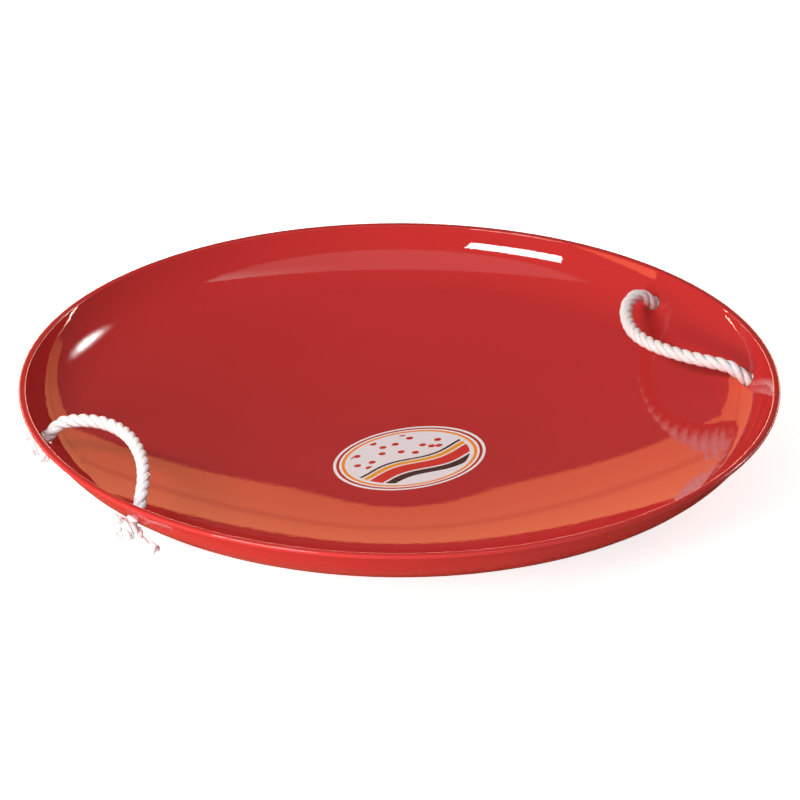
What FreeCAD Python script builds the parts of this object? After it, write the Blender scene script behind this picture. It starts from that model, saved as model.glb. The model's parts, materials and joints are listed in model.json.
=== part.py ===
import FreeCAD, Part
import math
import os

import Sketcher
from FreeCAD import Placement, Rotation, Vector

# Saucer sled: a pressed steel pan with a rolled rim, two rope handles and an oval label.
# Origin under the middle of the floor, +Z up, +X through the middle of the right handle.

# Driving dimensions in millimetres and degrees
DIMENSIONS = {
    # pan
    "pan_diameter": 660.4,      # over the rolled rim
    "pan_height": 84.0,         # underside of the flat middle to the top of the rim
    "middle_radius": 55.0,      # flat middle that the sled rests on
    "floor_drop": 36.0,         # flat middle to the level that the wall's curve would start from
    "wall_run": 66.5,           # middle of the wall's curve to the middle of the crest's
    "sheet_thickness": 0.76,
    "crest_radius": 1.8,        # top skin, where the wall turns out into the rim
    "rim_land": 2.5,            # flat top of the rim
    "shoulder_radius": 2.2,     # outer skin, where the rim turns down
    "rim_drop": 4.0,            # rim top to its lower edge
    "hem_radius": 1.5,          # outer skin, where the edge is tucked in
    "hem_run": 2.2,             # tucked-in edge of the sheet
    # rope holes
    "hole_spacing": 175.0,      # between the two holes of one handle
    "hole_drop": 25.0,          # rim top to the hole centre on the outer skin
    "hole_cut": 4.0,            # reach of the punch on each side of the skin
    # rope
    "rope_diameter": 12.0,
    "rope_clearance": 0.6,      # rope to the edge of its hole, all round
    "stub_reach": 1.0,          # rope that stands inside the wall before the loop begins
    "hinge_gap": 0.3,           # loop end to the stub
    # knots
    "knot_seat_gap": 0.3,       # knot to the outer skin
    "knot_turn_share": 0.52,    # of the rope's diameter: middle line of the turns round the knot
    "knot_pitch_share": 0.62,   # of the rope's diameter: from one turn to the next
    "tail_length": 34.0,        # from the knot's middle to the cut end
    # label
    "label_length": 145.0,
    "label_width": 110.0,
    "label_thickness": 0.15,
    "label_gap": 0.25,          # glue between the floor and the label
    "label_x": 17.5,
    "label_y": 14.5,
    "label_turn": 10.5,
}

# Rope loops as (inwards from the hinge line, along it, up from it), hole to hole
LOOP_ROUTES = {
    "right": [
        (6.5, 86.0, 6.0), (16.5, 83.0, 9.0), (28.5, 75.0, 6.0), (36.5, 61.0, 1.0), (41.5, 39.0, -3.0),
        (38.5, 9.0, -3.0), (27.5, -27.0, 0.0), (14.5, -58.0, 4.0), (6.0, -76.0, 6.0),
    ],
    "left": [
        (7.5, 85.0, 8.0), (18.0, 69.0, 15.0), (30.0, 47.0, 20.0), (36.5, 20.0, 22.0), (34.5, -10.0, 22.0),
        (27.5, -38.0, 19.0), (17.0, -61.0, 14.0), (7.0, -76.0, 8.0),
    ],
}
BEND_SHARE = 0.45               # of the shorter run, taken up by the bend at its end
TAIL_SHARES = (0.88, 0.30, -0.26)   # tail's heading: round the pan, outwards, up
SIDES = {"right": 1, "left": -1}
ENDS = {"rear": 1, "front": -1}

doc = FreeCAD.newDocument("saucer_sled")
sheet = doc.addObject("Spreadsheet::Sheet", "dims")
for row, (name, value) in enumerate(DIMENSIONS.items(), start=1):
    sheet.set(f"A{row}", name)
    sheet.set(f"B{row}", str(value))
    sheet.setAlias(f"B{row}", name)
doc.recompute()


def size(name):
    return float(sheet.get(name))


def bind(thing, **expressions):
    """Tie properties of a document object to the sheet."""
    for name, expression in expressions.items():
        thing.setExpression(name, expression)


def origin_item(body, role):
    return next(item for item in body.Origin.OriginFeatures if item.Role == role)


# Wall and holes, worked out from the sheet
pan_radius = size("pan_diameter") / 2
sheet_thickness = size("sheet_thickness")
rope_radius = size("rope_diameter") / 2
crest = Vector(pan_radius - size("shoulder_radius") - size("rim_land"),
               size("pan_height") - size("crest_radius"))
shoulder = Vector(pan_radius - size("shoulder_radius"), size("pan_height") - size("shoulder_radius"))
hem = Vector(pan_radius - size("hem_radius"), size("pan_height") - size("rim_drop") + size("hem_radius"))
# The wall is one arc, level at floor_drop if it were carried on, that runs into the inside of the crest
crest_inside = size("crest_radius") - sheet_thickness
wall_run = size("wall_run")
wall_rise = crest.y - size("floor_drop")
wall_radius = (wall_run ** 2 + wall_rise ** 2 - crest_inside ** 2) / (2 * (wall_rise + crest_inside))
wall_sweep = math.atan2(wall_run, wall_radius - wall_rise)
wall_middle = Vector(crest.x - wall_run, size("floor_drop") + wall_radius)
# The floor is one arc from the edge of the flat middle into the wall
floor_run = wall_middle.x - size("middle_radius")
floor_radius = (floor_run ** 2 + wall_middle.y ** 2 - wall_radius ** 2) / (2 * size("floor_drop"))
floor_middle = Vector(size("middle_radius"), floor_radius)
floor_sweep = math.asin(floor_run / (floor_radius - wall_radius))
hole_height = size("pan_height") - size("hole_drop")
hole_slope = math.acos((wall_middle.y - hole_height) / wall_radius)
hole_ring = wall_middle.x + wall_radius * math.sin(hole_slope)
hole_angle = math.asin(size("hole_spacing") / 2 / hole_ring)


def hole_azimuth(side, end):
    """Direction of a hole from the pan's axis, in radians."""
    return end * hole_angle if side > 0 else math.pi - end * hole_angle


def hole_place(azimuth, inwards):
    """Place on a hole's axis: its Z points into the pan and its X down the wall."""
    radius = hole_ring - inwards * math.sin(hole_slope)
    height = hole_height + inwards * math.cos(hole_slope)
    centre = Vector(radius * math.cos(azimuth), radius * math.sin(azimuth), height)
    turn = Rotation(Vector(0, 0, 1), math.degrees(azimuth))
    return Placement(centre, turn * Rotation(Vector(0, 1, 0), -math.degrees(hole_slope)))


def draw_skin(sketch, lift):
    """One skin of the pan's sheet from the axis out to the tucked-in edge."""
    quarter = math.pi / 2
    bends = [
        (floor_middle, floor_radius - lift, -quarter, floor_sweep - quarter),
        (wall_middle, wall_radius - lift, floor_sweep - quarter, wall_sweep - quarter),
        (crest, crest_inside + lift, quarter, quarter + wall_sweep),
        (shoulder, size("shoulder_radius") - sheet_thickness + lift, 0, quarter),
        (hem, size("hem_radius") - sheet_thickness + lift, -quarter, 0),
    ]
    arcs = []
    for centre, radius, first, last in bends:
        circle = Part.Circle(centre, Vector(0, 0, 1), radius)
        arcs.append(sketch.addGeometry(Part.ArcOfCircle(circle, first, last), False))
    floor_arc, wall_arc, crest_arc, shoulder_arc, hem_arc = arcs
    crest_bend, shoulder_bend, hem_bend = [radius for _, radius, _, _ in bends[2:]]
    runs = [
        (Vector(0, lift), Vector(size("middle_radius"), lift)),
        (crest + Vector(0, crest_bend), shoulder + Vector(0, shoulder_bend)),
        (shoulder + Vector(shoulder_bend, 0), hem + Vector(hem_bend, 0)),
        (hem - Vector(0, hem_bend), hem - Vector(size("hem_run"), hem_bend)),
    ]
    middle, land, face, tuck = [sketch.addGeometry(Part.LineSegment(*run), False) for run in runs]
    # Each edge with its first and last point as the skin is followed outwards
    return [(middle, 1, 2), (floor_arc, 1, 2), (wall_arc, 1, 2), (crest_arc, 2, 1), (land, 1, 2),
            (shoulder_arc, 2, 1), (face, 1, 2), (hem_arc, 2, 1), (tuck, 1, 2)]


def measure(sketch, label, expression, *constraint):
    """Add a constraint that takes its value from the sheet."""
    index = sketch.addConstraint(Sketcher.Constraint(*constraint))
    sketch.renameConstraint(index, label)
    sketch.setExpression(f"Constraints.{label}", expression)


def pan_section(body):
    """Closed section of the pan's sheet, both skins concentric at every bend."""
    sketch = body.newObject("Sketcher::SketchObject", "pan_section")
    sketch.AttachmentSupport = (origin_item(body, "XZ_Plane"), [""])
    sketch.MapMode = "FlatFace"
    under = draw_skin(sketch, 0)
    upper = draw_skin(sketch, sheet_thickness)
    for skin in (under, upper):
        for (edge, _, leaves), (following, enters, _) in zip(skin, skin[1:]):
            sketch.addConstraint(Sketcher.Constraint("Tangent", edge, leaves, following, enters))
    for index, point in ((0, 1), (-1, 2)):
        ends = [sketch.getPoint(skin[index][0], point) for skin in (under, upper)]
        cap = sketch.addGeometry(Part.LineSegment(*ends), False)
        sketch.addConstraint(Sketcher.Constraint("Coincident", cap, 1, under[index][0], point))
        sketch.addConstraint(Sketcher.Constraint("Coincident", cap, 2, upper[index][0], point))
        sketch.addConstraint(Sketcher.Constraint("Vertical", cap))
    middle, floor, wall, bend, land, turn, face, tuck_bend, tuck = [edge for edge, _, _ in under]
    for lower, higher in zip(under, upper):
        if lower[0] in (floor, wall, bend, turn, tuck_bend):
            sketch.addConstraint(Sketcher.Constraint("Coincident", lower[0], 3, higher[0], 3))
    for level in (middle, land, tuck, upper[0][0], upper[-1][0]):
        sketch.addConstraint(Sketcher.Constraint("Horizontal", level))
    sketch.addConstraint(Sketcher.Constraint("Vertical", face))
    sketch.addConstraint(Sketcher.Constraint("Coincident", middle, 1, -1, 1))
    measure(sketch, "middle_radius", "dims.middle_radius", "DistanceX", -1, 1, middle, 2,
            size("middle_radius"))
    measure(sketch, "wall_run", "dims.wall_run", "DistanceX", wall, 3, bend, 3, wall_run)
    rise = "(dims.pan_height - dims.crest_radius - dims.floor_drop)"
    inside = "(dims.crest_radius - dims.sheet_thickness)"
    measure(sketch, "wall_radius", f"(dims.wall_run ^ 2 + {rise} ^ 2 - {inside} ^ 2) / (2 * ({rise} + {inside}))",
            "Radius", wall, wall_radius)
    measure(sketch, "rim_land", "dims.rim_land", "DistanceX", land, 1, land, 2, size("rim_land"))
    measure(sketch, "hem_run", "dims.hem_run", "DistanceX", tuck, 2, tuck, 1, size("hem_run"))
    measure(sketch, "rim_radius", "dims.pan_diameter / 2", "DistanceX", -1, 1, upper[6][0], 1, pan_radius)
    measure(sketch, "rim_top", "dims.pan_height", "DistanceY", -1, 1, upper[4][0], 1, size("pan_height"))
    measure(sketch, "rim_foot", "dims.pan_height - dims.rim_drop", "DistanceY", -1, 1, upper[8][0], 1,
            size("pan_height") - size("rim_drop"))
    for position, label in ((3, "crest_radius"), (5, "shoulder_radius"), (7, "hem_radius")):
        measure(sketch, label, f"dims.{label}", "Radius", upper[position][0], size(label))
        measure(sketch, f"{label}_inside", f"dims.{label} - dims.sheet_thickness", "Radius",
                under[position][0], size(label) - sheet_thickness)
    return sketch


def rope_hole(body, label, azimuth):
    """Round hole punched square to the wall."""
    sketch = body.newObject("Sketcher::SketchObject", f"{label}_sketch")
    sketch.AttachmentSupport = (origin_item(body, "XY_Plane"), [""])
    sketch.MapMode = "FlatFace"
    sketch.AttachmentOffset = hole_place(azimuth, 0)
    radius = rope_radius + size("rope_clearance")
    circle = sketch.addGeometry(Part.Circle(Vector(0, 0, 0), Vector(0, 0, 1), radius), False)
    sketch.addConstraint(Sketcher.Constraint("Coincident", circle, 3, -1, 1))
    measure(sketch, "hole_radius", "dims.rope_diameter / 2 + dims.rope_clearance", "Radius", circle, radius)
    pocket = body.newObject("PartDesign::Pocket", label)
    pocket.Profile = sketch
    pocket.Midplane = True
    bind(pocket, Length="2 * dims.hole_cut")
    return pocket


def make_pan():
    """Pressed steel pan: a turned section with two rope holes, repeated on the other side."""
    body = doc.addObject("PartDesign::Body", "pan")
    sketch = pan_section(body)
    turned = body.newObject("PartDesign::Revolution", "pan_turned")
    turned.Profile = sketch
    turned.ReferenceAxis = (sketch, ["V_Axis"])
    turned.Angle = 360
    doc.recompute()
    whole = turned.Shape.Volume
    holes = [rope_hole(body, f"{end}_hole", hole_azimuth(1, sign)) for end, sign in ENDS.items()]
    doc.recompute()
    pair = whole - holes[-1].Shape.Volume
    pattern = body.newObject("PartDesign::PolarPattern", "hole_pairs")
    pattern.Originals = holes
    pattern.Axis = (origin_item(body, "Z_Axis"), [""])
    pattern.Angle = 360
    pattern.Occurrences = len(SIDES)
    body.Tip = pattern
    doc.recompute()
    print(f"pan {whole:.0f} mm3, one pair of holes takes {pair:.1f}, both {whole - body.Shape.Volume:.1f}")
    return body


def label_section(body):
    """Half section of a thin layer on the floor's upper skin, out past the label's far end."""
    sketch = body.newObject("Sketcher::SketchObject", "label_section")
    sketch.AttachmentSupport = (origin_item(body, "XZ_Plane"), [""])
    sketch.MapMode = "FlatFace"
    seat = sheet_thickness + size("label_gap")
    thickness = size("label_thickness")
    reach = math.hypot(size("label_x"), size("label_y")) + size("label_length")
    quarter = math.pi / 2
    sweep = math.asin((reach - size("middle_radius")) / floor_radius)
    skins = []
    for lift in (seat, seat + thickness):
        flat = sketch.addGeometry(Part.LineSegment(Vector(0, lift), Vector(size("middle_radius"), lift)), False)
        circle = Part.Circle(floor_middle, Vector(0, 0, 1), floor_radius - lift)
        arc = sketch.addGeometry(Part.ArcOfCircle(circle, -quarter, sweep - quarter), False)
        sketch.addConstraint(Sketcher.Constraint("Tangent", flat, 2, arc, 1))
        sketch.addConstraint(Sketcher.Constraint("Horizontal", flat))
        sketch.addConstraint(Sketcher.Constraint("PointOnObject", flat, 1, -2))
        skins.append((flat, arc))
    (low_flat, low_arc), (high_flat, high_arc) = skins
    for low, low_point, high, high_point in ((low_flat, 1, high_flat, 1), (low_arc, 2, high_arc, 2)):
        ends = [sketch.getPoint(low, low_point), sketch.getPoint(high, high_point)]
        cap = sketch.addGeometry(Part.LineSegment(*ends), False)
        sketch.addConstraint(Sketcher.Constraint("Coincident", cap, 1, low, low_point))
        sketch.addConstraint(Sketcher.Constraint("Coincident", cap, 2, high, high_point))
    sketch.addConstraint(Sketcher.Constraint("Coincident", low_arc, 3, high_arc, 3))
    sketch.addConstraint(Sketcher.Constraint("Radius", low_arc, floor_radius - seat))
    measure(sketch, "seat", "dims.sheet_thickness + dims.label_gap", "DistanceY", -1, 1, low_flat, 1, seat)
    measure(sketch, "layer", "dims.label_thickness", "DistanceY", low_flat, 1, high_flat, 1, thickness)
    measure(sketch, "middle_radius", "dims.middle_radius", "DistanceX", -1, 1, low_flat, 2,
            size("middle_radius"))
    return sketch


def make_label():
    """Oval sticker that lies on the dished floor: a thin layer of the floor's shape, cut to the oval."""
    body = doc.addObject("PartDesign::Body", "label_layer")
    layer = body.newObject("PartDesign::Revolution", "label_turned")
    layer.Profile = label_section(body)
    layer.ReferenceAxis = (layer.Profile[0], ["V_Axis"])
    layer.Angle = 360
    outline = doc.addObject("Part::Ellipse", "label_outline")
    bind(outline, MajorRadius="dims.label_length / 2", MinorRadius="dims.label_width / 2")
    turn = Rotation(Vector(0, 0, 1), size("label_turn"))
    outline.Placement = Placement(Vector(size("label_x"), size("label_y"), 0), turn)
    oval = doc.addObject("Part::Extrusion", "label_oval")
    oval.Base = outline
    oval.DirMode = "Custom"
    oval.Dir = Vector(0, 0, 1)
    oval.Solid = True
    bind(oval, LengthFwd="dims.pan_height")
    label = doc.addObject("Part::Common", "label")
    label.Base = body
    label.Tool = oval
    return label


def rounded_path(points):
    """Straight runs joined by arcs as large as the runs allow; gives the wire and the radii."""
    runs = [after - before for before, after in zip(points, points[1:])]
    edges = []
    radii = []
    here = points[0]
    for corner, before, after in zip(points[1:], runs, runs[1:]):
        turn = before.getAngle(after)
        reach = BEND_SHARE * min(before.Length, after.Length)
        radius = reach / math.tan(turn / 2)
        heading_in = before / before.Length
        heading_out = after / after.Length
        inside = heading_out - heading_in
        inside.normalize()
        enters = corner - heading_in * reach
        leaves = corner + heading_out * reach
        middle = corner + inside * (radius / math.cos(turn / 2) - radius)
        edges.append(Part.LineSegment(here, enters).toShape())
        edges.append(Part.Arc(enters, middle, leaves).toShape())
        radii.append(radius)
        here = leaves
    edges.append(Part.LineSegment(here, points[-1]).toShape())
    return Part.Wire(edges), radii


def make_handle(name, side):
    """Rope loop from hole to hole, with rounded ends that turn on the hinge line."""
    pivot_depth = sheet_thickness + size("stub_reach") + size("hinge_gap") + rope_radius
    pivots = {end: hole_place(hole_azimuth(side, sign), pivot_depth).Base for end, sign in ENDS.items()}
    hinge = (pivots["rear"] + pivots["front"]) / 2
    points = [pivots["rear"]]
    points += [hinge + Vector(-side * inwards, along, up) for inwards, along, up in LOOP_ROUTES[name]]
    points.append(pivots["front"])
    wire, radii = rounded_path(points)
    route = doc.addObject("Part::Feature", f"{name}_route")
    route.Shape = wire
    section = doc.addObject("Part::Circle", f"{name}_section")
    bind(section, Radius="dims.rope_diameter / 2")
    section.Placement = Placement(points[0], Rotation(Vector(0, 0, 1), points[1] - points[0]))
    tube = doc.addObject("Part::Sweep", f"{name}_tube")
    tube.Sections = [section]
    tube.Spine = (route, [f"Edge{index + 1}" for index in range(len(wire.Edges))])
    tube.Solid = True
    pieces = [tube]
    for end, place, beyond in (("rear", points[0], points[1]), ("front", points[-1], points[-2])):
        cap = doc.addObject("Part::Sphere", f"{name}_{end}_cap")
        bind(cap, Radius="dims.rope_diameter / 2")
        cap.Angle2 = 0
        cap.Placement = Placement(place, Rotation(Vector(0, 0, 1), beyond - place))
        pieces.append(cap)
    handle = doc.addObject("Part::MultiFuse", f"{name}_handle_rope")
    handle.Shapes = pieces
    doc.recompute()
    plain = math.pi * rope_radius ** 2 * wire.Length
    print(f"{name} rope {wire.Length:.1f} mm, volume over section times length "
          f"{tube.Shape.Volume / plain:.4f}, hinge at {hinge.x:.2f} {hinge.z:.2f}, radii",
          " ".join(f"{radius:.1f}" for radius in radii))
    return handle


def knot_section(body, name):
    """Half section of two turns of rope pressed side by side round the knot's axis."""
    sketch = body.newObject("Sketcher::SketchObject", f"{name}_section")
    sketch.AttachmentSupport = (origin_item(body, "XZ_Plane"), [""])
    sketch.MapMode = "FlatFace"
    turn_radius = size("rope_diameter") * size("knot_turn_share")
    half_pitch = rope_radius * size("knot_pitch_share")
    waist = math.asin(half_pitch / rope_radius)
    centres = [Vector(turn_radius, half_pitch), Vector(turn_radius, -half_pitch)]
    spans = [(-waist, math.pi / 2), (-math.pi / 2, waist)]
    top = Vector(0, half_pitch + rope_radius)
    rim = Vector(turn_radius, 0)
    upper, lower = [
        sketch.addGeometry(Part.ArcOfCircle(Part.Circle(centre, Vector(0, 0, 1), rope_radius), *span), False)
        for centre, span in zip(centres, spans)
    ]
    lid, base, axis = [
        sketch.addGeometry(Part.LineSegment(*run), False)
        for run in ((top, top + rim), (rim - top, -top), (-top, top))
    ]
    for constraint in (
        ("Tangent", lid, 2, upper, 2), ("Coincident", upper, 1, lower, 2), ("Tangent", lower, 1, base, 1),
        ("Coincident", base, 2, axis, 1), ("Coincident", axis, 2, lid, 1), ("Horizontal", lid),
        ("Horizontal", base), ("Vertical", axis), ("PointOnObject", lid, 1, -2),
        ("Vertical", upper, 3, lower, 3),
    ):
        sketch.addConstraint(Sketcher.Constraint(*constraint))
    for label, arc in (("upper_turn", upper), ("lower_turn", lower)):
        measure(sketch, label, "dims.rope_diameter / 2", "Radius", arc, rope_radius)
    measure(sketch, "turn_radius", "dims.rope_diameter * dims.knot_turn_share", "DistanceX",
            -1, 1, upper, 3, turn_radius)
    measure(sketch, "half_pitch", "dims.rope_diameter * dims.knot_pitch_share / 2", "DistanceY",
            -1, 1, upper, 3, half_pitch)
    measure(sketch, "pitch", "dims.rope_diameter * dims.knot_pitch_share", "DistanceY",
            lower, 3, upper, 3, 2 * half_pitch)
    return sketch


def make_knot(name, side, end):
    """Stopper knot outside a hole: a stub through the wall, two turns of rope and a short tail."""
    azimuth = hole_azimuth(side, end)
    middle = hole_place(azimuth, -size("knot_seat_gap") - rope_radius * (1 + size("knot_pitch_share")))
    turns = doc.addObject("PartDesign::Body", f"{name}_turns")
    sketch = knot_section(turns, name)
    wound = turns.newObject("PartDesign::Revolution", f"{name}_wound")
    wound.Profile = sketch
    wound.ReferenceAxis = (sketch, ["V_Axis"])
    wound.Angle = 360
    turns.Placement = middle
    stub = doc.addObject("Part::Cylinder", f"{name}_stub")
    bind(stub, Radius="dims.rope_diameter / 2",
         Height="dims.knot_seat_gap + dims.rope_diameter / 2 * (1 + dims.knot_pitch_share)"
                " + dims.sheet_thickness + dims.stub_reach")
    stub.Placement = middle
    outwards = Vector(math.cos(azimuth), math.sin(azimuth), 0)
    round_pan = Vector(-math.sin(azimuth), math.cos(azimuth), 0)
    heading = round_pan * TAIL_SHARES[0] + outwards * TAIL_SHARES[1] + Vector(0, 0, TAIL_SHARES[2])
    tail = doc.addObject("Part::Cylinder", f"{name}_tail")
    bind(tail, Radius="dims.rope_diameter / 2", Height="dims.tail_length")
    tail.Placement = Placement(middle.Base, Rotation(Vector(0, 0, 1), heading))
    knot = doc.addObject("Part::MultiFuse", name)
    knot.Shapes = [turns, stub, tail]
    return knot


parts = [make_pan(), make_label()]
for side_name, side_sign in SIDES.items():
    parts.append(make_handle(side_name, side_sign))
    for end_name, end_sign in ENDS.items():
        parts.append(make_knot(f"{side_name}_{end_name}_knot", side_sign, end_sign))
doc.recompute()

for item in doc.Objects:
    if "Invalid" in item.State or "Error" in item.State:
        raise RuntimeError(f"{item.Label} failed: {item.State}")
for part in parts:
    if part.Shape.isNull() or not part.Shape.isValid() or len(part.Shape.Solids) != 1:
        raise RuntimeError(f"{part.Label} is not one valid solid")
os.makedirs("parts", exist_ok=True)
for part in parts:
    box = part.Shape.optimalBoundingBox()
    print(f"{part.Label}: {part.Shape.Volume:.0f} mm3, z {box.ZMin:.2f} to {box.ZMax:.2f}")
    part.Shape.exportStep(f"parts/{part.Label}.step")
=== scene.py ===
import json
import math
import random

import bpy
import numpy as np
from mathutils import Matrix, Vector

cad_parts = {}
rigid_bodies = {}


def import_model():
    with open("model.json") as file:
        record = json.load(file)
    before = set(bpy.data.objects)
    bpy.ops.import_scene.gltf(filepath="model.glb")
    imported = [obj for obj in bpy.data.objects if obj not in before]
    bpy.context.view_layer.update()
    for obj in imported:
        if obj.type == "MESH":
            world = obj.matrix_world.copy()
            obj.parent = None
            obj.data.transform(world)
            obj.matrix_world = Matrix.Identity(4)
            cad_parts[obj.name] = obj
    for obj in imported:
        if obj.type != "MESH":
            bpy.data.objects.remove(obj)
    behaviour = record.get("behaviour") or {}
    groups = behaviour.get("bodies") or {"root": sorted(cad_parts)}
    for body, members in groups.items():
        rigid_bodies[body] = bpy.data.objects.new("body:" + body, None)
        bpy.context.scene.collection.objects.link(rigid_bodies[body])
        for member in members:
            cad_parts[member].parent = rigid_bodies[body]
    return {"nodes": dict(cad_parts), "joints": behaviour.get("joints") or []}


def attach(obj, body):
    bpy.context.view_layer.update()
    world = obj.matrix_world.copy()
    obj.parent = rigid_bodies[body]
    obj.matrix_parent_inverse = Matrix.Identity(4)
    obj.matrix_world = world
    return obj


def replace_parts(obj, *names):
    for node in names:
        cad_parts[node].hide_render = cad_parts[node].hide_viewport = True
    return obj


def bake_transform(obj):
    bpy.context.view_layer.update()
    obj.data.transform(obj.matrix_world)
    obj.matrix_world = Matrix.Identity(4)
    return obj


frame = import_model()
bpy.context.view_layer.update()

# Saucer sled: a glossy red pressed steel pan with two white laid rope handles and an oval label.
# Metres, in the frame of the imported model: +Z up, +X through the middle of the right handle.

# Rope
ROPE_DIAMETER = 0.0120
ROPE_LAY = 2.75 * ROPE_DIAMETER         # one full turn of a strand round the rope
STRANDS = 3
STRAND_RING = 0.212 * ROPE_DIAMETER     # rope's middle to a strand's middle
STRAND_RADIUS = 0.288 * ROPE_DIAMETER
YARN_LAY = 3.0 * ROPE_DIAMETER          # one full turn of a yarn round its strand, the other way
YARNS = 8                               # that show round one strand
YARN_RELIEF = 0.20                      # depth of the groove between yarns, of the strand's radius
POINTS_PER_YARN = 4
LINE_STEPS = 16                         # points on a rope's line for each of its control points
NEARLY_UPRIGHT = 0.1                    # sine of a rope's lean under which it counts as upright

# Rope holes, on the outer skin of the wall
HOLE_RING = 0.31062
HOLE_HEIGHT = 0.0590
HOLE_SLOPE = math.radians(48.04)
HOLE_AZIMUTH = math.radians(16.36)
PIVOT_DEPTH = 0.00806                   # from the outer skin in to the hinge line
KNOT_REACH = 0.9 * ROPE_DIAMETER        # of the loop's rope beyond the skin, inside the knot

# Rope loops as (inwards from the hinge line, along it, up from it), rear hole to front hole
LOOP_ROUTES = {
    "right": [
        (0.0065, 0.086, 0.006), (0.0165, 0.083, 0.009), (0.0290, 0.074, 0.0065), (0.0395, 0.0555, 0.004),
        (0.0485, 0.026, 0.004), (0.0470, -0.0065, 0.0055), (0.0350, -0.0405, 0.0075),
        (0.0185, -0.065, 0.008), (0.0070, -0.078, 0.007),
    ],
    "left": [
        (0.0075, 0.085, 0.008), (0.0180, 0.069, 0.015), (0.0300, 0.047, 0.020), (0.0365, 0.020, 0.022),
        (0.0345, -0.010, 0.022), (0.0275, -0.038, 0.019), (0.0170, -0.061, 0.014), (0.0070, -0.076, 0.008),
    ],
}
SIDES = {"right": 1, "left": -1}
ENDS = {"rear": 1, "front": -1}

# Knots, in rope diameters: places are (round the pan, up the wall, outwards) from the hole
KNOT_GIRTH = 0.88                       # rope pulled tight in a knot, of its slack girth
KNOT_TURN_SHARE = 0.53                  # middle line of the turns round the standing part
KNOT_TURNS = 1.75
KNOT_POINTS_PER_TURN = 12
KNOT_TOP_SHARE = 1.16                   # outermost turn, from the wall
KNOT_SEAT_SHARE = 0.49                  # turn that lies on the wall
TAIL_SHARES = [(0.50, -0.54, 0.60), (1.05, -0.66, 1.05), (1.70, -0.60, 1.17), (2.79, -0.60, 1.08)]
SHORT_TAILS = {"left_rear_knot_laid": 2}            # points of the tails that are cut shorter

# Loose yarns that stand out of the front knots in a fan, in rope diameters
FRAY_SEED = 7
FRAY_YARNS = 12
FRAY_START = (0, 0.25, 0.85)
FRAY_FAN = (20, 106)                    # degrees from up the wall to outwards
FRAY_REACH = 1.75
FRAY_REACH_SHARES = (0.85, 1.08)        # shortest and longest, of that reach
FRAY_LEAN = 0.5                         # most that a tip leans round the pan, either way
FRAY_BEND = 0.15                        # most that a yarn bows up or outwards
FRAY_BEND_SHARES = (0.5, 0.65)          # of the tip's lean and reach where a yarn bows
FRAY_GIRTH = (0.50, 0.24)               # at the knot and at the tip, of the slack rope's girth

# Label
LABEL_LENGTH = 0.145
LABEL_WIDTH = 0.110
LABEL_MIDDLE = (0.0175, 0.0145)
LABEL_TURN = math.radians(10.5)
LABEL_GROUND = "eceaee"
LABEL_WHITE = "f4f2f3"
WAVE_LENGTH = 0.0876                    # of the stripes
WAVE_RISE = 0.00385
STRIPES = [                             # from a share of the label's width upwards
    (0.0, LABEL_GROUND), (0.20, "241e20"), (0.27, LABEL_GROUND), (0.29, "d02c26"), (0.40, LABEL_GROUND),
    (0.415, "eca02c"), (0.46, LABEL_GROUND), (0.475, "241e20"), (0.50, LABEL_GROUND),
]
STRIPES_TOP = 0.54                      # share of the width where the dots begin
DOT_SPACING = 0.0173                    # along the label
DOT_SCATTER = 0.75                      # from 0, even rows, to 1, quite loose
DOT_RADIUS = 0.00346
RINGS = [                               # from a share of the way from the middle to the edge
    (0.0, LABEL_GROUND), (0.845, "f0922a"), (0.889, LABEL_WHITE), (0.918, "b02620"), (0.960, LABEL_WHITE),
]
BORDER_START = 0.79                     # share of that way where stripes and dots end

# Finishes: widths and depths of their grain
MM = 0.001
PEEL_WIDTH = 3.3 * MM                   # ripples of the stoved enamel
PEEL_DEPTH = 0.02 * MM
SPRAY_WIDTH = 110 * MM                  # patches of thicker and thinner enamel
FILAMENT_WIDTH = 0.38 * MM              # real ones are about 0.05 mm; drawn coarse, so that they show
FILAMENT_DEPTH = 0.12 * MM
YARN_PATCH = 6.25 * MM                  # lighter and darker stretches of yarn
FILM_GRAIN_WIDTH = 1.4 * MM             # real grain is about 0.2 mm; drawn coarse, so that it shows
FILM_GRAIN_DEPTH = 0.03 * MM

# Camera
PHOTO_SIDE = 800                        # pixels
LENS_MM = 450
SENSOR_MM = 36
CAMERA_SIGHT = 100.0                    # farthest that it sees
CAMERA_DISTANCE = 8.667
CAMERA_ELEVATION = math.radians(25.96)
CAMERA_AZIMUTH = math.radians(-27.1)
CAMERA_ROLL = math.radians(0.102)
RIM_MIDDLE = Vector((0, 0, 0.0839))
RIM_MIDDLE_PIXEL = (399.4, 383.5)       # where the middle of the rim lies in the photograph

# Floor
FLOOR_SIDE = 60.0
FLOOR_SHINE = 0.80                      # white that the paper adds for the camera alone
FLOOR_WHITE = "f4f4f4"
PAINTED_FLOOR_SHADE = "bc7860"                   # painted shade: the sled's shadow and red bounce on the floor, as the gloss mirrors it beside the sled
PAINTED_SHADE_FADE = (0.40, 0.70)               # distances where that painted shade begins to fade and is gone
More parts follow.
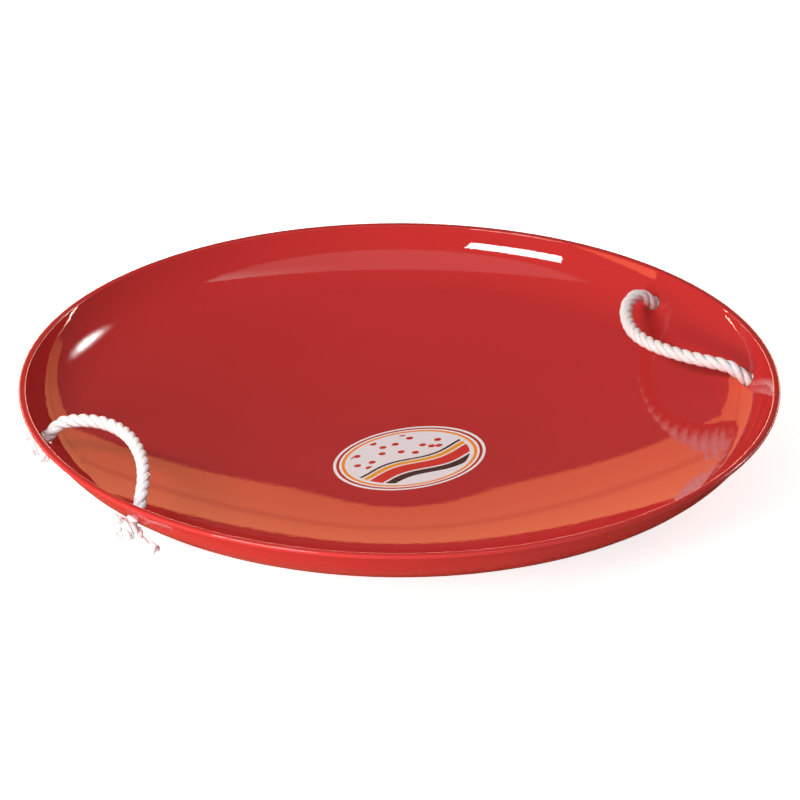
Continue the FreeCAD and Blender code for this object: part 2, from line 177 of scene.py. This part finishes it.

# Box lights, with ways as degrees from the camera's right hand and above the floor, spreads as degrees
# wide and high seen from the sled
KEY_SPOT = (0.115, 0.285, 0.055)        # place on the wall that mirrors the box, right, away and up
KEY_WAY = (-130, 35.2)
KEY_SPREAD = (24.7, 8.0)
KEY_TILT = 8.7
KEY_DISTANCE = 3.0
KEY_WATTS = 54
FILL_WAY = (-116, 17)                   # low in front: throws the right rope's shadow on its wall
FILL_SPREAD = (13, 13)
FILL_DISTANCE = 1.6
FILL_WATTS = 10
CARD_WAY = (-158, 9)                    # low warm card by the sled's left
CARD_SPREAD = (44, 16)
CARD_DISTANCE = 1.6
CARD_WATTS = 9
REAR_BOX_SPREAD = (9, 9)                # the rear lamp's light on the floor, with the ropes' soft shadows
REAR_BOX_DISTANCE = 3.0
REAR_BOX_WATTS = 8
WARM_LIGHT = "ff8a5c"

# Lights that stand far off, whose edges are pairs: where the light is gone and where it is full
REAR_LAMP_WAY = (34.5, 26)
REAR_LAMP_SPREAD = (14, 8.0)            # degrees from its middle to its faint edge
REAR_LAMP_DEPTH = 60.0                  # so deep that only the place across its face counts
REAR_LAMP_TILT = -39
REAR_LAMP_GLOW = 60
REAR_LAMP_FALL = 3.5                    # power by which it fades outwards
BOARD_TOP = (0.441, 0.429)              # upright board behind, in slopes over the distance away
BOARD_LEFT = (-0.96, -0.84)
BOARD_RIGHT = (1.52, 1.28)
BOARD_FACING = (0.02, 0.05)             # share of a way that points away from the camera
BOARD_LEAN = 0.13                       # fall of its top edge to the right
BOARD_SEAM = 0.277                      # dull line along it
BOARD_SEAM_HALF = 0.03
BOARD_SEAM_SHADE = 0.72
BOARD_GLOW = 1.72
BOARD_FADE = 0.36                       # of its glow to the right
BOARD_TINT = "ff9558"
PANEL_MIDDLE = (0.03, -0.18)            # half round panel overhead, in slopes from the zenith
PANEL_REACH = (0.92, 0.78)
PANEL_REAR = (-0.165, -0.195)
PANEL_ROUND = (1.05, 0.90)              # in shares of its reach
PANEL_RISE = (0.2, 0.4)                 # share of a way that points up
PANEL_GLOW = 0.7
PANEL_CORNER_GLOW = 1.6                 # more at its right rear corner
PANEL_CORNER_SIDE = (0.1, 0.9)
PANEL_CORNER_REAR = (-0.45, -0.18)
STRIP_BOTTOM = (0.0, 0.01)              # low strip light behind, in slopes over the distance away
STRIP_TOP = (0.050, 0.040)
STRIP_FACING = (0.3, 0.4)
STRIP_GLOW = 30
STRIP_TINT = "ffd8c0"
ROOM_GLOW = 0.11
MIRRORED = (0, 1)                       # light that only gloss shows
MIRRORED_ONCE = (2, 1)                  # light that a second mirroring doesn't show


def colour(code):
    """Linear colour of an sRGB hex code."""
    values = [int(code[i:i + 2], 16) / 255 for i in (0, 2, 4)]
    return [v / 12.92 if v <= 0.04045 else ((v + 0.055) / 1.055) ** 2.4 for v in values] + [1.0]


def add(tree, kind, inputs=None, **settings):
    """Add a node; an input is given a plain value or another node's output."""
    made = tree.nodes.new(kind)
    for name, value in settings.items():
        setattr(made, name, value)
    for name, value in (inputs or {}).items():
        if isinstance(value, bpy.types.NodeSocket):
            tree.links.new(value, made.inputs[name])
        else:
            made.inputs[name].default_value = value
    return made


def new_material(name):
    """Empty material with its tree and its surface output."""
    material = bpy.data.materials.new(name)
    material.use_nodes = True
    material.node_tree.nodes.clear()
    output = add(material.node_tree, "ShaderNodeOutputMaterial")
    return material, material.node_tree, output.inputs["Surface"]


def red_enamel():
    """Gloss alkyd enamel, sprayed on pressed steel and stoved."""
    # A hard clear-cut mirror over deep red, with a faint ripple and a slow drift in the red.
    material, tree, surface = new_material("stoved_gloss_red_enamel")
    place = add(tree, "ShaderNodeTexCoord").outputs["Object"]
    peel = add(tree, "ShaderNodeTexNoise", {"Vector": place, "Scale": 1 / PEEL_WIDTH, "Detail": 1.0})
    relief = add(tree, "ShaderNodeBump", {
        "Height": peel.outputs["Fac"], "Strength": 1.0, "Distance": PEEL_DEPTH})
    drift = add(tree, "ShaderNodeTexNoise", {"Vector": place, "Scale": 1 / SPRAY_WIDTH, "Detail": 2.0})
    shade = add(tree, "ShaderNodeMix", {
        "Factor": drift.outputs["Fac"], "A": colour("b92e2c"), "B": colour("be312f")}, data_type="RGBA")
    coat = add(tree, "ShaderNodeBsdfPrincipled", {
        "Base Color": shade.outputs["Result"], "Roughness": 0.02, "IOR": 1.52,
        "Normal": relief.outputs["Normal"]})
    tree.links.new(coat.outputs["BSDF"], surface)
    return material


def rope_fibre():
    """Spun polypropylene filaments, twisted into yarns."""
    # Matt, slightly translucent white, with a soft sheen and fine filaments on the yarns.
    material, tree, surface = new_material("twisted_white_polypropylene")
    place = add(tree, "ShaderNodeTexCoord").outputs["Object"]
    fuzz = add(tree, "ShaderNodeTexNoise", {"Vector": place, "Scale": 1 / FILAMENT_WIDTH, "Detail": 2.0})
    relief = add(tree, "ShaderNodeBump", {
        "Height": fuzz.outputs["Fac"], "Strength": 0.5, "Distance": FILAMENT_DEPTH})
    drift = add(tree, "ShaderNodeTexNoise", {"Vector": place, "Scale": 1 / YARN_PATCH})
    shade = add(tree, "ShaderNodeMix", {
        "Factor": drift.outputs["Fac"], "A": colour("e4e2e2"), "B": colour("eeeded")}, data_type="RGBA")
    fibre = add(tree, "ShaderNodeBsdfPrincipled", {
        "Base Color": shade.outputs["Result"], "Roughness": 0.65, "Sheen Weight": 0.25,
        "Subsurface Weight": 0.6, "Subsurface Radius": (1, 0.95, 0.9), "Subsurface Scale": 0.002,
        "Normal": relief.outputs["Normal"]})
    tree.links.new(fibre.outputs["BSDF"], surface)
    return material


def label_film():
    """Printed vinyl film, stuck on flat."""
    # Satin white with flat inks: wavy stripes below, scattered dots above, and two rings round them.
    material, tree, surface = new_material("printed_vinyl_film")
    place = add(tree, "ShaderNodeTexCoord").outputs["Object"]
    oval = add(tree, "ShaderNodeMapping", {
        "Vector": place, "Location": (*LABEL_MIDDLE, 0), "Rotation": (0, 0, LABEL_TURN),
        "Scale": (LABEL_LENGTH / 2, LABEL_WIDTH / 2, 1)}, vector_type="TEXTURE").outputs["Vector"]
    flat = add(tree, "ShaderNodeVectorMath", {0: oval, 1: (1, 1, 0)}, operation="MULTIPLY")
    flat = flat.outputs["Vector"]
    edge = add(tree, "ShaderNodeVectorMath", {0: flat}, operation="LENGTH").outputs["Value"]
    across = add(tree, "ShaderNodeSeparateXYZ", {"Vector": flat})
    phase = add(tree, "ShaderNodeMath", {
        0: across.outputs["X"], 1: math.pi * LABEL_LENGTH / WAVE_LENGTH}, operation="MULTIPLY")
    wave = add(tree, "ShaderNodeMath", {0: phase.outputs["Value"]}, operation="SINE")
    lift = add(tree, "ShaderNodeMath", {
        0: wave.outputs["Value"], 1: 2 * WAVE_RISE / LABEL_WIDTH, 2: across.outputs["Y"]},
        operation="MULTIPLY_ADD")
    height = add(tree, "ShaderNodeMath", {
        0: lift.outputs["Value"], 1: 0.5, 2: 0.5}, operation="MULTIPLY_ADD").outputs["Value"]
    dots = add(tree, "ShaderNodeTexVoronoi", {
        "Vector": flat, "Scale": LABEL_LENGTH / 2 / DOT_SPACING, "Randomness": DOT_SCATTER},
        voronoi_dimensions="2D").outputs["Distance"]
    dot_bands = [(0.0, "c42a24"), (DOT_RADIUS / DOT_SPACING, LABEL_GROUND)]
    inks = []
    for value, bands in ((height, STRIPES), (dots, dot_bands), (edge, RINGS)):
        ink = add(tree, "ShaderNodeValToRGB", {"Fac": value})
        ink.color_ramp.interpolation = "CONSTANT"
        for band, _ in bands[1:-1]:
            ink.color_ramp.elements.new(band)
        for element, (band, code) in zip(ink.color_ramp.elements, bands):
            element.position = band
            element.color = colour(code)
        inks.append(ink.outputs["Color"])
    stripes, dots, rings = inks
    above = add(tree, "ShaderNodeMath", {0: height, 1: STRIPES_TOP}, operation="GREATER_THAN")
    inner = add(tree, "ShaderNodeMix", {
        "Factor": above.outputs["Value"], "A": stripes, "B": dots}, data_type="RGBA")
    border = add(tree, "ShaderNodeMath", {0: edge, 1: BORDER_START}, operation="GREATER_THAN")
    print_ink = add(tree, "ShaderNodeMix", {
        "Factor": border.outputs["Value"], "A": inner.outputs["Result"], "B": rings}, data_type="RGBA")
    grain = add(tree, "ShaderNodeTexNoise", {"Vector": place, "Scale": 1 / FILM_GRAIN_WIDTH, "Detail": 2.0})
    relief = add(tree, "ShaderNodeBump", {
        "Height": grain.outputs["Fac"], "Strength": 0.3, "Distance": FILM_GRAIN_DEPTH})
    film = add(tree, "ShaderNodeBsdfPrincipled", {
        "Base Color": print_ink.outputs["Result"], "Roughness": 0.22, "Normal": relief.outputs["Normal"]})
    tree.links.new(film.outputs["BSDF"], surface)
    return material


def rope_line(name, points):
    """Points of the smooth curve that has these control points."""
    curve = bpy.data.curves.new(name, "CURVE")
    curve.dimensions = "3D"
    curve.resolution_u = LINE_STEPS
    spline = curve.splines.new("NURBS")
    spline.points.add(len(points) - 1)
    for point, place in zip(spline.points, points):
        point.co = (*place, 1)
    spline.order_u = 3
    spline.use_endpoint_u = True
    holder = bpy.data.objects.new(name, curve)
    mesh = bpy.data.meshes.new_from_object(holder)
    line = np.array([vertex.co for vertex in mesh.vertices])
    for data, store in ((holder, bpy.data.objects), (curve, bpy.data.curves), (mesh, bpy.data.meshes)):
        store.remove(data)
    return line


def unit(vectors):
    """Vectors of length one in the same directions."""
    return vectors / np.linalg.norm(vectors, axis=-1, keepdims=True)


def carried_normals(tangents):
    """Sideways directions along a line that never twist about it."""
    side = np.cross(tangents[0], (0.0, 0.0, 1.0))
    if np.linalg.norm(side) < NEARLY_UPRIGHT:
        side = np.cross(tangents[0], (1.0, 0.0, 0.0))
    normals = [unit(side)]
    for tangent in tangents[1:]:
        normals.append(unit(normals[-1] - tangent * np.dot(normals[-1], tangent)))
    return np.array(normals)


def laid_rope(name, pieces, fibre):
    """Strands laid round each line at its girth, each of yarns twisted the other way."""
    around = np.linspace(0, 2 * math.pi, YARNS * POINTS_PER_YARN, endpoint=False)
    count = len(around)
    vertices = []
    faces = []
    for line, girth in pieces:
        girth = np.broadcast_to(girth, len(line))[:, None]
        run = np.concatenate([[0], np.cumsum(np.linalg.norm(np.diff(line, axis=0), axis=1))])
        tangents = unit(np.gradient(line, run, axis=0))
        normals = carried_normals(tangents)
        binormals = np.cross(tangents, normals)
        for strand in range(STRANDS):
            turn = 2 * math.pi * (run / ROPE_LAY + strand / STRANDS)
            out = normals * np.cos(turn)[:, None] + binormals * np.sin(turn)[:, None]
            middle = line + girth * STRAND_RING * out
            along = unit(np.gradient(middle, run, axis=0))
            across = unit(np.cross(along, out))
            out = np.cross(across, along)
            yarn = YARNS / 2 * (around[None, :] + 2 * math.pi * run[:, None] / YARN_LAY)
            groove = YARN_RELIEF * (1 - np.sqrt(np.abs(np.sin(yarn))))
            radius = girth * STRAND_RADIUS * (1 - groove)
            sweep = np.cos(around)[None, :, None] * out[:, None, :]
            sweep = sweep + np.sin(around)[None, :, None] * across[:, None, :]
            rings = middle[:, None, :] + radius[..., None] * sweep
            first = len(vertices)
            last = first + (len(line) - 1) * count
            vertices.extend(rings.reshape(-1, 3))
            for ring in range(first, last, count):
                for place in range(count):
                    here = ring + place
                    beside = ring + (place + 1) % count
                    faces.append((here, beside, beside + count, here + count))
            faces.append(tuple(range(first + count - 1, first - 1, -1)))
            faces.append(tuple(range(last, last + count)))
    mesh = bpy.data.meshes.new(name)
    mesh.from_pydata([tuple(v) for v in vertices], [], faces)
    mesh.polygons.foreach_set("use_smooth", [True] * len(mesh.polygons))
    mesh.materials.append(fibre)
    rope = bpy.data.objects.new(name, mesh)
    bpy.context.scene.collection.objects.link(rope)
    return rope


def hole_axes(side, end):
    """A rope hole's middle on the outer skin, with the ways round the pan, up the wall and outwards."""
    azimuth = end * HOLE_AZIMUTH if side > 0 else math.pi - end * HOLE_AZIMUTH
    radial = Vector((math.cos(azimuth), math.sin(azimuth), 0))
    round_pan = Vector((-math.sin(azimuth), math.cos(azimuth), 0))
    middle = radial * HOLE_RING + Vector((0, 0, HOLE_HEIGHT))
    outwards = radial * math.sin(HOLE_SLOPE) - Vector((0, 0, math.cos(HOLE_SLOPE)))
    return middle, round_pan, outwards.cross(round_pan), outwards


def frayed_yarns():
    """Bows and tips of the loose yarns that stand out of a knot."""
    chance = random.Random(FRAY_SEED)
    routes = []
    for angle in np.radians(np.linspace(*FRAY_FAN, FRAY_YARNS)):
        reach = FRAY_REACH * chance.uniform(*FRAY_REACH_SHARES)
        lean = chance.uniform(-FRAY_LEAN, FRAY_LEAN)
        up, out = reach * math.cos(angle), reach * math.sin(angle)
        lean_share, reach_share = FRAY_BEND_SHARES
        bend = chance.uniform(-FRAY_BEND, FRAY_BEND)
        bow = (lean_share * lean, reach_share * up + bend, reach_share * out - bend)
        routes.append([bow, (lean, up, out)])
    return routes


def stopper_knot(name, side, end, fibre):
    """Rope wound down round its standing part outside the wall, with a short tail."""
    middle, round_pan, up_wall, outwards = hole_axes(side, end)
    halfway = 0.5 * (KNOT_SEAT_SHARE + KNOT_TOP_SHARE)
    shares = [(0, 0, height) for height in (KNOT_SEAT_SHARE, halfway, KNOT_TOP_SHARE)]
    count = round(KNOT_TURNS * KNOT_POINTS_PER_TURN)
    for index in range(count + 1):
        angle = -math.pi / 2 + 2 * math.pi * (index - count) / KNOT_POINTS_PER_TURN
        height = KNOT_TOP_SHARE + (KNOT_SEAT_SHARE - KNOT_TOP_SHARE) * index / count
        shares.append((KNOT_TURN_SHARE * math.cos(angle), KNOT_TURN_SHARE * math.sin(angle), height))
    shares += TAIL_SHARES[:SHORT_TAILS.get(name, len(TAIL_SHARES))]
    routes = [(shares, KNOT_GIRTH, KNOT_GIRTH)]
    if end == ENDS["front"]:
        routes += [([FRAY_START, *route], *FRAY_GIRTH) for route in frayed_yarns()]
    pieces = []
    for shares, first, last in routes:
        points = [middle + ROPE_DIAMETER * (round_pan * u + up_wall * v + outwards * w)
                  for u, v, w in shares]
        line = rope_line(name, points)
        pieces.append((line, np.linspace(first, last, len(line))))
    knot = laid_rope(name, pieces, fibre)
    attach(knot, "pan")
    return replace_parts(knot, name.replace("_laid", ""))


def handle_rope(side_name, fibre):
    """Rope loop from knot to knot, through the pan's holes along its route from the handle's hinge line."""
    side = SIDES[side_name]
    body = f"{side_name}_handle"
    joint = next(j for j in frame["joints"] if j["child"] == body)
    hinge = Vector(joint["pos_m"])
    points = [hinge + Vector((-side * inwards, along, up)) for inwards, along, up in LOOP_ROUTES[side_name]]
    ends = {}
    for end_name, end in ENDS.items():
        middle, _, _, outwards = hole_axes(side, end)
        ends[end_name] = [middle + outwards * KNOT_REACH, middle - outwards * PIVOT_DEPTH]
    line = rope_line(f"{side_name}_line", ends["rear"] + points + ends["front"][::-1])
    rope = laid_rope(f"{side_name}_rope", [(line, 1.0)], fibre)
    knots = [stopper_knot(f"{side_name}_{end_name}_knot_laid", side, end, fibre)
             for end_name, end in ENDS.items()]
    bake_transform(rope)
    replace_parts(rope, f"{side_name}_handle_rope")


def studio_floor():
    """Matt paper: white to the camera with the sled's shadow on it, and a painted warm shade close by that
    only the gloss sees.
    """
    half = FLOOR_SIDE / 2
    mesh = bpy.data.meshes.new("studio_floor")
    corners = [(-half, -half, 0), (half, -half, 0), (half, half, 0), (-half, half, 0)]
    mesh.from_pydata(corners, [], [(0, 1, 2, 3)])
    material, tree, surface = new_material("white_paper_with_painted_shade")
    rays = add(tree, "ShaderNodeLightPath")
    seen = add(tree, "ShaderNodeBsdfDiffuse", {"Color": colour(FLOOR_WHITE)})
    shine = add(tree, "ShaderNodeEmission", {"Strength": FLOOR_SHINE})
    white = add(tree, "ShaderNodeAddShader", {0: seen.outputs["BSDF"], 1: shine.outputs["Emission"]})
    place = add(tree, "ShaderNodeTexCoord").outputs["Object"]
    apart = add(tree, "ShaderNodeVectorMath", {0: place}, operation="LENGTH").outputs["Value"]
    far = add(tree, "ShaderNodeMapRange", {
        "Value": apart, "From Min": PAINTED_SHADE_FADE[0], "From Max": PAINTED_SHADE_FADE[1]})
    # painted shade for glossy rays: warm and dim beside the sled for its shadow and red bounce, white
    # farther off
    mirrored = add(tree, "ShaderNodeMix", {
        "Factor": far.outputs["Result"], "A": colour(PAINTED_FLOOR_SHADE), "B": colour(FLOOR_WHITE)},
        data_type="RGBA")
    bounced = add(tree, "ShaderNodeMix", {
        "Factor": rays.outputs["Is Glossy Ray"], "A": colour(FLOOR_WHITE), "B": mirrored.outputs["Result"]},
        data_type="RGBA")
    unseen = add(tree, "ShaderNodeBsdfDiffuse", {"Color": bounced.outputs["Result"]})
    paper = add(tree, "ShaderNodeMixShader", {
        0: rays.outputs["Is Camera Ray"], 1: unseen.outputs["BSDF"], 2: white.outputs["Shader"]})
    tree.links.new(paper.outputs["Shader"], surface)
    mesh.materials.append(material)
    floor = bpy.data.objects.new("studio_floor", mesh)
    bpy.context.scene.collection.objects.link(floor)


def toward(azimuth, elevation):
    """Direction from the sled, by degrees from the camera's right hand and above the floor."""
    turn = math.radians(azimuth) + CAMERA_AZIMUTH
    rise = math.radians(elevation)
    return Vector((math.cos(turn) * math.cos(rise), math.sin(turn) * math.cos(rise), math.sin(rise)))


def softbox(name, spot, way, spread, distance, watts, tint="ffffff", tilt=0, mirrored=True):
    """Rectangular studio light that faces a spot and is hidden from the camera."""
    lamp = bpy.data.lights.new(name, "AREA")
    lamp.shape = "RECTANGLE"
    lamp.size, lamp.size_y = (2 * distance * math.tan(math.radians(angle / 2)) for angle in spread)
    lamp.energy = watts
    lamp.color = colour(tint)[:3]
    holder = bpy.data.objects.new(name, lamp)
    out = toward(*way)
    turn = out.to_track_quat("Z", "Y").to_matrix().to_4x4() @ Matrix.Rotation(math.radians(tilt), 4, "Z")
    holder.matrix_world = Matrix.Translation(spot + out * distance) @ turn
    holder.visible_camera = False
    holder.visible_glossy = mirrored
    bpy.context.scene.collection.objects.link(holder)


def box_lights():
    """Key box from the camera's left with a low fill, a box behind and a warm card at the left."""
    key_spot = toward(0, 0) * KEY_SPOT[0] + toward(90, 0) * KEY_SPOT[1] + Vector((0, 0, KEY_SPOT[2]))
    softbox("key_box", key_spot, KEY_WAY, KEY_SPREAD, KEY_DISTANCE, KEY_WATTS, tilt=KEY_TILT)
    softbox("rear_box", RIM_MIDDLE, REAR_LAMP_WAY, REAR_BOX_SPREAD, REAR_BOX_DISTANCE, REAR_BOX_WATTS,
            WARM_LIGHT, mirrored=False)
    softbox("fill_box", RIM_MIDDLE, FILL_WAY, FILL_SPREAD, FILL_DISTANCE, FILL_WATTS, mirrored=False)
    softbox("warm_card", RIM_MIDDLE, CARD_WAY, CARD_SPREAD, CARD_DISTANCE, CARD_WATTS, WARM_LIGHT)


def far_lights():
    """Warm board, soft lamp and low strip behind, half round panel overhead, and a dim white room."""
    world = bpy.data.worlds.new("studio")
    world.use_nodes = True
    tree = world.node_tree
    tree.nodes.clear()

    def cut(glow, edges):
        """Light that fades out along edges, each a value with its pair of numbers."""
        for value, (gone, full) in edges:
            share = add(tree, "ShaderNodeMapRange", {"Value": value, "From Min": gone, "From Max": full},
                        interpolation_type="SMOOTHSTEP").outputs["Result"]
            glow = add(tree, "ShaderNodeMath", {0: glow, 1: share}, operation="MULTIPLY").outputs["Value"]
        return glow

    rays = add(tree, "ShaderNodeLightPath").outputs
    sky = add(tree, "ShaderNodeTexCoord").outputs["Generated"]

    # ways as right, away and up for the camera, and their slopes: edges of what stands upright are
    # straight in slopes over the distance away, edges of what lies flat overhead in slopes over the rise
    way = add(tree, "ShaderNodeMapping", {"Vector": sky, "Rotation": (0, 0, -CAMERA_AZIMUTH)})
    way = way.outputs["Vector"]
    parts = add(tree, "ShaderNodeSeparateXYZ", {"Vector": way}).outputs
    away, rise = parts["Y"], parts["Z"]
    upright = add(tree, "ShaderNodeVectorMath", {0: way, 1: away}, operation="DIVIDE").outputs["Vector"]
    parts = add(tree, "ShaderNodeSeparateXYZ", {"Vector": upright}).outputs
    along, up = parts["X"], parts["Z"]
    overhead = add(tree, "ShaderNodeVectorMath", {0: way, 1: rise}, operation="DIVIDE").outputs["Vector"]
    parts = add(tree, "ShaderNodeSeparateXYZ", {"Vector": overhead}).outputs
    side, rear = parts["X"], parts["Y"]

    # warm board behind, with a dull seam
    height = add(tree, "ShaderNodeMath", {0: along, 1: BOARD_LEAN, 2: up}, operation="MULTIPLY_ADD")
    height = height.outputs["Value"]
    seam = add(tree, "ShaderNodeMath", {0: height, 1: BOARD_SEAM}, operation="SUBTRACT").outputs["Value"]
    seam = add(tree, "ShaderNodeMath", {0: seam}, operation="ABSOLUTE").outputs["Value"]
    shade = add(tree, "ShaderNodeMapRange", {
        "Value": seam, "From Max": BOARD_SEAM_HALF, "To Min": BOARD_SEAM_SHADE},
        interpolation_type="SMOOTHSTEP")
    glow = add(tree, "ShaderNodeMath", {0: along, 1: -BOARD_FADE, 2: BOARD_GLOW}, operation="MULTIPLY_ADD")
    board = add(tree, "ShaderNodeMath", {
        0: glow.outputs["Value"], 1: shade.outputs["Result"]}, operation="MULTIPLY").outputs["Value"]
    board = cut(board, [
        (height, BOARD_TOP), (along, BOARD_LEFT), (along, BOARD_RIGHT), (away, BOARD_FACING)])

    # panel overhead, straight at its rear and round in front
    corner = cut(PANEL_CORNER_GLOW, [(side, PANEL_CORNER_SIDE), (rear, PANEL_CORNER_REAR)])
    panel = add(tree, "ShaderNodeMath", {0: corner, 1: PANEL_GLOW}, operation="ADD").outputs["Value"]
    spot = add(tree, "ShaderNodeMapping", {
        "Vector": overhead, "Location": (*PANEL_MIDDLE, 1), "Scale": (*PANEL_REACH, 1)},
        vector_type="TEXTURE")
    reach = add(tree, "ShaderNodeVectorMath", {0: spot.outputs["Vector"]}, operation="LENGTH")
    panel = cut(panel, [(rear, PANEL_REAR), (reach.outputs["Value"], PANEL_ROUND), (rise, PANEL_RISE)])

    # soft lamp behind
    turn = toward(*REAR_LAMP_WAY).to_track_quat("Z", "Y").to_matrix()
    turn = turn @ Matrix.Rotation(math.radians(REAR_LAMP_TILT), 3, "Z")
    spread = [math.sin(math.radians(angle)) for angle in REAR_LAMP_SPREAD]
    spot = add(tree, "ShaderNodeMapping", {
        "Vector": sky, "Rotation": turn.to_euler(), "Scale": (*spread, REAR_LAMP_DEPTH)},
        vector_type="TEXTURE")
    lamp = add(tree, "ShaderNodeTexGradient", {"Vector": spot.outputs["Vector"]}, gradient_type="SPHERICAL")
    lamp = add(tree, "ShaderNodeMath", {0: lamp.outputs["Fac"], 1: REAR_LAMP_FALL}, operation="POWER")
    lamp = add(tree, "ShaderNodeMath", {0: lamp.outputs["Value"], 1: REAR_LAMP_GLOW}, operation="MULTIPLY")
    lamp = cut(lamp.outputs["Value"], [
        (rays["Is Glossy Ray"], MIRRORED), (rays["Glossy Depth"], MIRRORED_ONCE)])

    # strip light behind, so low that only the rim's crest mirrors it: the far rim hides it from the inside
    strip = cut(STRIP_GLOW, [
        (up, STRIP_BOTTOM), (up, STRIP_TOP), (away, STRIP_FACING), (rays["Is Glossy Ray"], MIRRORED)])

    white = add(tree, "ShaderNodeMath", {0: panel, 1: lamp}, operation="ADD").outputs["Value"]
    white = add(tree, "ShaderNodeMath", {0: white, 1: ROOM_GLOW}, operation="ADD").outputs["Value"]
    plain = add(tree, "ShaderNodeBackground", {"Color": colour("ffffff"), "Strength": white})
    shader = plain.outputs["Background"]
    for tint, strength in ((BOARD_TINT, board), (STRIP_TINT, strip)):
        glow = add(tree, "ShaderNodeBackground", {"Color": colour(tint), "Strength": strength})
        both = add(tree, "ShaderNodeAddShader", {0: shader, 1: glow.outputs["Background"]})
        shader = both.outputs["Shader"]
    add(tree, "ShaderNodeOutputWorld", {"Surface": shader})
    bpy.context.scene.world = world


def photo_camera():
    """Long lens at the photograph's angle."""
    data = bpy.data.cameras.new("photo_camera")
    data.sensor_width = SENSOR_MM
    data.lens = LENS_MM
    data.clip_end = CAMERA_SIGHT
    data.shift_x = (PHOTO_SIDE / 2 - RIM_MIDDLE_PIXEL[0]) / PHOTO_SIDE
    data.shift_y = (RIM_MIDDLE_PIXEL[1] - PHOTO_SIDE / 2) / PHOTO_SIDE
    camera = bpy.data.objects.new("photo_camera", data)
    way = toward(-90, math.degrees(CAMERA_ELEVATION))
    turn = way.to_track_quat("Z", "Y").to_matrix().to_4x4() @ Matrix.Rotation(CAMERA_ROLL, 4, "Z")
    camera.matrix_world = Matrix.Translation(RIM_MIDDLE + way * CAMERA_DISTANCE) @ turn
    bpy.context.scene.collection.objects.link(camera)
    bpy.context.scene.camera = camera


fibre = rope_fibre()
for side_name in SIDES:
    handle_rope(side_name, fibre)
for node, material in (("pan", red_enamel()), ("label", label_film())):
    frame["nodes"][node].data.materials[0] = material
studio_floor()
far_lights()
box_lights()
photo_camera()
bpy.context.scene.view_settings.view_transform = "Standard"
